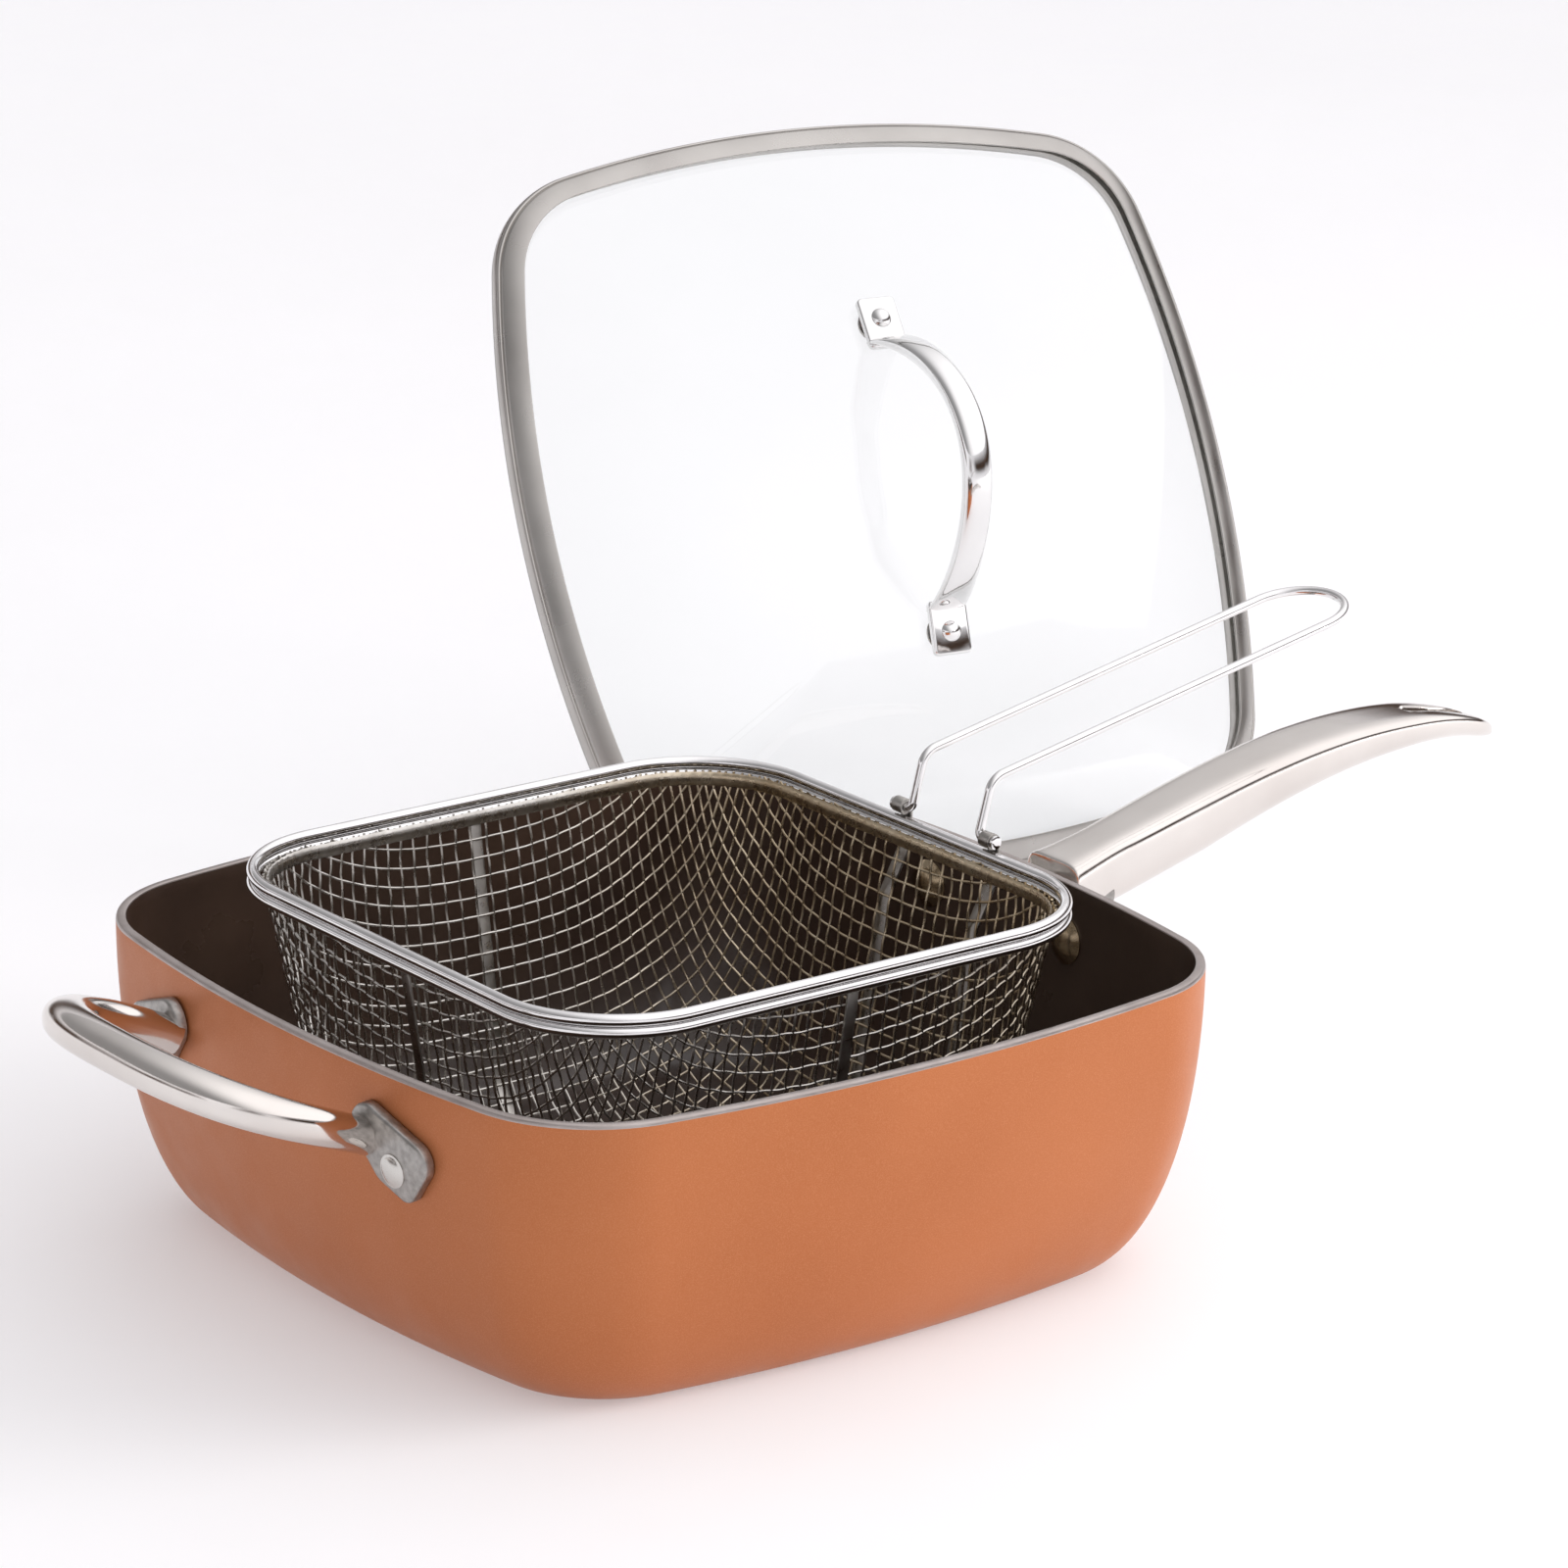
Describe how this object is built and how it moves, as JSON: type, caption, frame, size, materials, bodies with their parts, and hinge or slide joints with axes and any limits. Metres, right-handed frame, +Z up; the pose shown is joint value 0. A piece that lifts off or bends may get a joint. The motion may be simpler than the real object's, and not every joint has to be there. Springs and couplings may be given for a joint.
{
  "type": "frying pan set",
  "caption": "Deep square frying pan with a long handle, a helper handle, a wire frying basket with a folding wire handle and a domed glass lid.",
  "frame": {"origin": "middle of the pan's flat base, on the surface it stands on", "axes": "+X from the pan along its long handle, +Z up, +Y towards the side the lid stands on"},
  "size_m": [0.6519, 0.5123, 0.2485],
  "materials": {
    "copper_coat": "satin copper coat outside, dark non-stick coat inside, bare machined rim",
    "cast_steel": "polished cast stainless steel",
    "handle_steel": "polished stainless steel, hollow",
    "rivet_steel": "satin",
    "basket_chrome": "bright chrome plate",
    "net_wire": "plated woven wire",
    "strap_steel": "plain strip",
    "lid_glass": "clear tempered glass",
    "band_steel": "rolled stainless steel band",
    "lid_chrome": "polished",
    "silicone": "matt silicone"
  },
  "bodies": {
    "pan": {"pan_body": "copper_coat", "long_handle_bracket": "cast_steel", "long_handle_rivets": "rivet_steel", "long_handle": "handle_steel", "helper_handle": "cast_steel", "helper_rivets": "rivet_steel"},
    "basket": {"basket_rim_upper": "basket_chrome", "basket_rim_lower": "basket_chrome", "basket_mesh": "net_wire", "basket_strap_long": "strap_steel", "basket_strap_cross": "strap_steel", "basket_handle_straps": "strap_steel"},
    "wire_handle": {"basket_handle": "basket_chrome"},
    "lid": {"lid_glass": "lid_glass", "lid_band": "band_steel", "lid_handle": "lid_chrome", "lid_screws": "rivet_steel", "lid_outer_washers": "silicone", "lid_inner_washers": "rivet_steel", "lid_nuts": "rivet_steel"}
  },
  "joints": [
    {"name": "basket_lift", "type": "slide", "parent": "pan", "child": "basket", "axis": [0, 0, 1], "range_m": [0, 0.12]},
    {"name": "wire_handle_fold", "type": "hinge", "parent": "basket", "child": "wire_handle", "pos_m": [0.1013, -0.0147, 0.1194], "axis": [0, -1, 0], "range_deg": [0, 135]},
    {"name": "lid_lift", "type": "slide", "parent": "pan", "child": "lid", "axis": [0, 0, 1], "range_m": [0, 0.12]}
  ]
}
